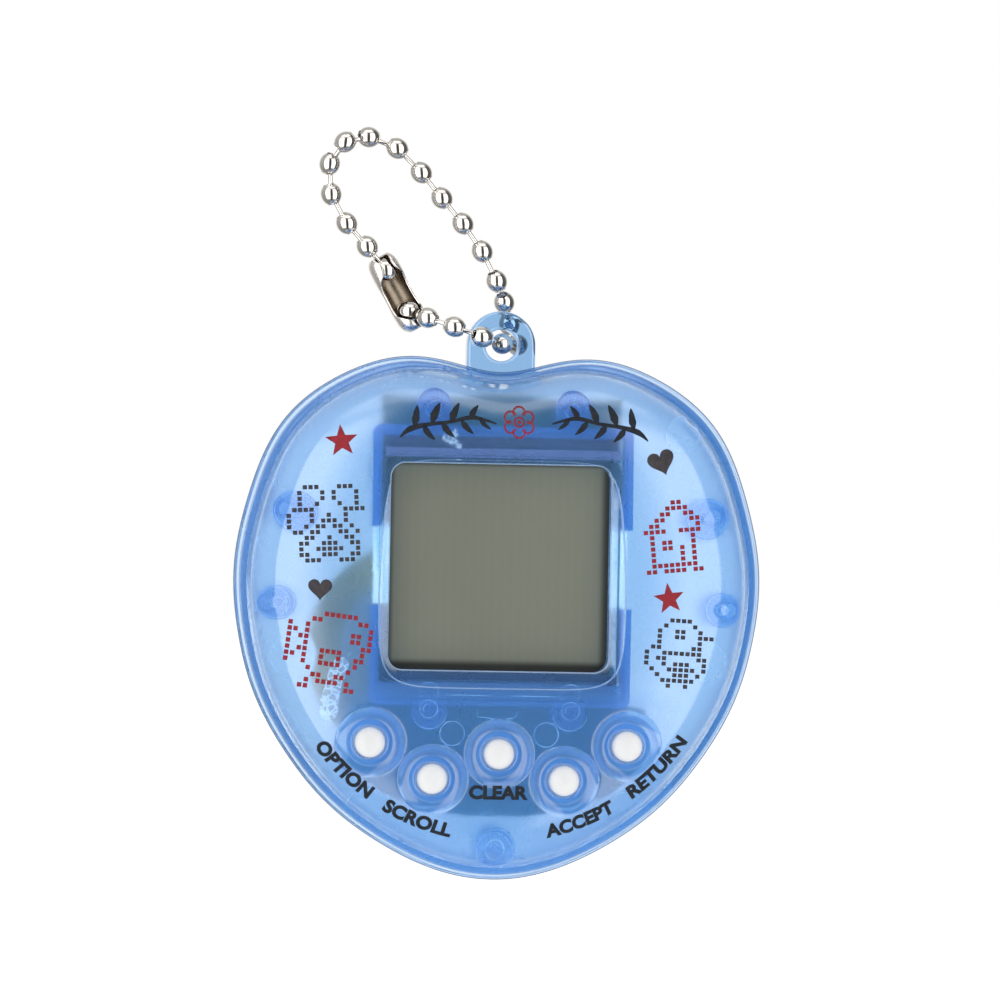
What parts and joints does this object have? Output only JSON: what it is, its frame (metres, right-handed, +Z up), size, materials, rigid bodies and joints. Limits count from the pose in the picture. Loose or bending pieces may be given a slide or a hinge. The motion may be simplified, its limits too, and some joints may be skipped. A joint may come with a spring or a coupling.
{
  "type": "virtual pet keychain",
  "caption": "Apple-shaped translucent handheld virtual pet with square LCD, a curved row of push buttons and a keyring tab carrying a ball chain with clasp.",
  "frame": {"origin": "centre of the flat back face of the case", "axes": "+Z up towards the keyring tab, screen faces -Y, +Y out of the flat back, +X to the right seen from the screen side"},
  "size_m": [0.0552, 0.015, 0.0789],
  "materials": {
    "shell_blue": "translucent light blue, polished outside, frosted inside",
    "screw_steel": "plated",
    "contact_brass": "spring plate",
    "cell_steel": "satin can",
    "board_green": "solder mask",
    "epoxy_black": "potting blob",
    "can_metal": "drawn can",
    "capacitor_sleeve": "sleeve",
    "lcd_film": "polarizing film",
    "lcd_glass": "clear",
    "zebra_rubber": "striped silicone",
    "piezo_brass": "rolled",
    "piezo_ceramic": "silvered",
    "wire_red": "insulation",
    "wire_black": "insulation",
    "button_white": "moulded",
    "pill_carbon": "carbon",
    "chain_chrome": "nickel plated",
    "clasp_chrome": "nickel plated"
  },
  "bodies": {
    "case": {"front_shell": "shell_blue", "rear_shell": "shell_blue", "lcd_frame": "shell_blue", "lcd_front_polarizer": "lcd_film", "lcd_front_glass": "lcd_glass", "lcd_rear_glass": "lcd_glass", "lcd_reflector": "lcd_film", "zebra_strip_upper": "zebra_rubber", "zebra_strip_lower": "zebra_rubber", "circuit_board": "board_green", "chip_blob": "epoxy_black", "crystal_can": "can_metal", "capacitor": "capacitor_sleeve", "button_cell_left": "cell_steel", "button_cell_right": "cell_steel", "battery_contact_left": "contact_brass", "battery_contact_right": "contact_brass", "piezo_plate": "piezo_brass", "piezo_ceramic": "piezo_ceramic", "piezo_wire_ceramic": "wire_red", "piezo_wire_plate": "wire_black"},
    "button_1": {"button_1": "button_white", "button_pill_1": "pill_carbon"},
    "button_2": {"button_2": "button_white", "button_pill_2": "pill_carbon"},
    "button_3": {"button_3": "button_white", "button_pill_3": "pill_carbon"},
    "button_4": {"button_4": "button_white", "button_pill_4": "pill_carbon"},
    "button_5": {"button_5": "button_white", "button_pill_5": "pill_carbon"},
    "battery_door": {"battery_door": "shell_blue", "battery_strap": "contact_brass"},
    "battery_door_screw": {"battery_door_screw": "screw_steel"},
    "chain_bead_17": {"chain_bead_17": "chain_chrome"},
    "chain_bead_16": {"chain_bead_16": "chain_chrome"},
    "chain_bead_15": {"chain_bead_15": "chain_chrome"},
    "chain_bead_14": {"chain_bead_14": "chain_chrome"},
    "chain_bead_13": {"chain_bead_13": "chain_chrome"},
    "chain_bead_12": {"chain_bead_12": "chain_chrome"},
    "chain_bead_11": {"chain_bead_11": "chain_chrome"},
    "chain_bead_10": {"chain_bead_10": "chain_chrome"},
    "chain_bead_09": {"chain_bead_09": "chain_chrome"},
    "chain_bead_08": {"chain_bead_08": "chain_chrome"},
    "chain_bead_07": {"chain_bead_07": "chain_chrome"},
    "chain_bead_06": {"chain_bead_06": "chain_chrome"},
    "chain_bead_05": {"chain_bead_05": "chain_chrome"},
    "chain_bead_04": {"chain_bead_04": "chain_chrome"},
    "chain_bead_03": {"chain_bead_03": "chain_chrome"},
    "chain_bead_02": {"chain_bead_02": "chain_chrome"},
    "chain_bead_18": {"chain_bead_18": "chain_chrome"},
    "chain_bead_19": {"chain_bead_19": "chain_chrome"},
    "chain_bead_20": {"chain_bead_20": "chain_chrome"},
    "chain_bead_21": {"chain_bead_21": "chain_chrome"},
    "clasp": {"clasp": "clasp_chrome", "chain_bead_01": "chain_chrome"}
  },
  "joints": [
    {"name": "button_1_press", "type": "slide", "parent": "case", "child": "button_1", "axis": [0, 1, 0], "range_m": [0, 0.0008], "stiffness_N_per_m": 150},
    {"name": "button_2_press", "type": "slide", "parent": "case", "child": "button_2", "axis": [0, 1, 0], "range_m": [0, 0.0008], "stiffness_N_per_m": 150},
    {"name": "button_3_press", "type": "slide", "parent": "case", "child": "button_3", "axis": [0, 1, 0], "range_m": [0, 0.0008], "stiffness_N_per_m": 150},
    {"name": "button_4_press", "type": "slide", "parent": "case", "child": "button_4", "axis": [0, 1, 0], "range_m": [0, 0.0008], "stiffness_N_per_m": 150},
    {"name": "button_5_press", "type": "slide", "parent": "case", "child": "button_5", "axis": [0, 1, 0], "range_m": [0, 0.0008], "stiffness_N_per_m": 150},
    {"name": "battery_door_lift", "type": "slide", "parent": "case", "child": "battery_door", "axis": [0, 1, 0], "range_m": [0, 0.012]},
    {"name": "door_screw_turn", "type": "hinge", "parent": "battery_door", "child": "battery_door_screw", "pos_m": [0, -0.0006, 0.0066], "axis": [0, 1, 0], "range_deg": [0, 360]},
    {"name": "chain_swing", "type": "hinge", "parent": "case", "child": "chain_bead_17", "pos_m": [0, -0.0056, 0.028], "axis": [0, 1, 0], "range_deg": [-8, 60]},
    {"name": "chain_link_16", "type": "hinge", "parent": "chain_bead_17", "child": "chain_bead_16", "pos_m": [0.00015, -0.0056, 0.0282], "axis": [-0.8363, 0.5478, 0.0232], "range_deg": [-15, 15]},
    {"name": "chain_link_15", "type": "hinge", "parent": "chain_bead_16", "child": "chain_bead_15", "pos_m": [0.00195, -0.00285, 0.02815], "axis": [0.9398, 0, 0.3417], "range_deg": [-25, 4]},
    {"name": "chain_link_14", "type": "hinge", "parent": "chain_bead_15", "child": "chain_bead_14", "pos_m": [0.00115, -0.00125, 0.03035], "axis": [0.1744, -0.7851, -0.5944], "range_deg": [-25, 25]},
    {"name": "chain_link_13", "type": "hinge", "parent": "chain_bead_14", "child": "chain_bead_13", "pos_m": [0.00049, -0.0031, 0.0326], "axis": [-0.9121, 0, -0.41], "range_deg": [-25, 25]},
    {"name": "chain_link_12", "type": "hinge", "parent": "chain_bead_13", "child": "chain_bead_12", "pos_m": [-0.00049, -0.0049, 0.03478], "axis": [-0.0394, 0.9963, 0.0759], "range_deg": [0, 25]},
    {"name": "chain_link_11", "type": "hinge", "parent": "chain_bead_12", "child": "chain_bead_11", "pos_m": [-0.0021, -0.0052, 0.03788], "axis": [0.8057, 0, 0.5923], "range_deg": [-25, 25]},
    {"name": "chain_link_10", "type": "hinge", "parent": "chain_bead_11", "child": "chain_bead_10", "pos_m": [-0.00421, -0.0054, 0.04075], "axis": [0.0187, -0.9996, -0.0218], "range_deg": [-25, 0]},
    {"name": "chain_link_09", "type": "hinge", "parent": "chain_bead_10", "child": "chain_bead_09", "pos_m": [-0.00648, -0.0055, 0.04339], "axis": [-0.7615, 0, -0.6482], "range_deg": [-25, 25]},
    {"name": "chain_link_08", "type": "hinge", "parent": "chain_bead_09", "child": "chain_bead_08", "pos_m": [-0.00871, -0.0056, 0.04601], "axis": [-0.0201, 0.9996, 0.0194], "range_deg": [0, 25]},
    {"name": "chain_link_07", "type": "hinge", "parent": "chain_bead_08", "child": "chain_bead_07", "pos_m": [-0.01129, -0.0057, 0.04849], "axis": [0.345, 0, 0.9386], "range_deg": [-25, 25]},
    {"name": "chain_link_06", "type": "hinge", "parent": "chain_bead_07", "child": "chain_bead_06", "pos_m": [-0.01431, -0.0058, 0.0496], "axis": [0.4052, -0.9088, 0.0989], "range_deg": [-25, 0]},
    {"name": "chain_link_05", "type": "hinge", "parent": "chain_bead_06", "child": "chain_bead_05", "pos_m": [-0.01685, -0.007, 0.04898], "axis": [0.8292, 0, -0.5589], "range_deg": [-25, 25]},
    {"name": "chain_link_04", "type": "hinge", "parent": "chain_bead_05", "child": "chain_bead_04", "pos_m": [-0.01838, -0.0059, 0.04671], "axis": [-0.0045, 0.998, 0.0626], "range_deg": [-25, 25]},
    {"name": "chain_link_03", "type": "hinge", "parent": "chain_bead_04", "child": "chain_bead_03", "pos_m": [-0.01815, -0.0057, 0.04354], "axis": [-0.8714, 0, -0.4905], "range_deg": [-25, 25]},
    {"name": "chain_link_02", "type": "hinge", "parent": "chain_bead_03", "child": "chain_bead_02", "pos_m": [-0.01645, -0.0056, 0.04052], "axis": [0.0208, -0.9995, -0.0225], "range_deg": [-25, 25]},
    {"name": "chain_link_18", "type": "hinge", "parent": "chain_bead_17", "child": "chain_bead_18", "pos_m": [0.00015, -0.0056, 0.0282], "axis": [-0.2524, 0, -0.9676], "range_deg": [-25, 4]},
    {"name": "chain_link_19", "type": "hinge", "parent": "chain_bead_18", "child": "chain_bead_19", "pos_m": [-0.00215, -0.00825, 0.0288], "axis": [0.0454, 0.9988, -0.0159], "range_deg": [-12, 25]},
    {"name": "chain_link_20", "type": "hinge", "parent": "chain_bead_19", "child": "chain_bead_20", "pos_m": [-0.00509, -0.0081, 0.02983], "axis": [0.3101, 0, 0.9507], "range_deg": [-25, 25]},
    {"name": "chain_link_21", "type": "hinge", "parent": "chain_bead_20", "child": "chain_bead_21", "pos_m": [-0.00788, -0.0073, 0.03074], "axis": [-0.6524, -0.7221, 0.2303], "range_deg": [-25, 25]},
    {"name": "clasp_swing", "type": "hinge", "parent": "chain_bead_21", "child": "clasp", "pos_m": [-0.00975, -0.0054, 0.0314], "axis": [0.7866, 0.4226, 0.4502], "range_deg": [-12, 25]}
  ]
}
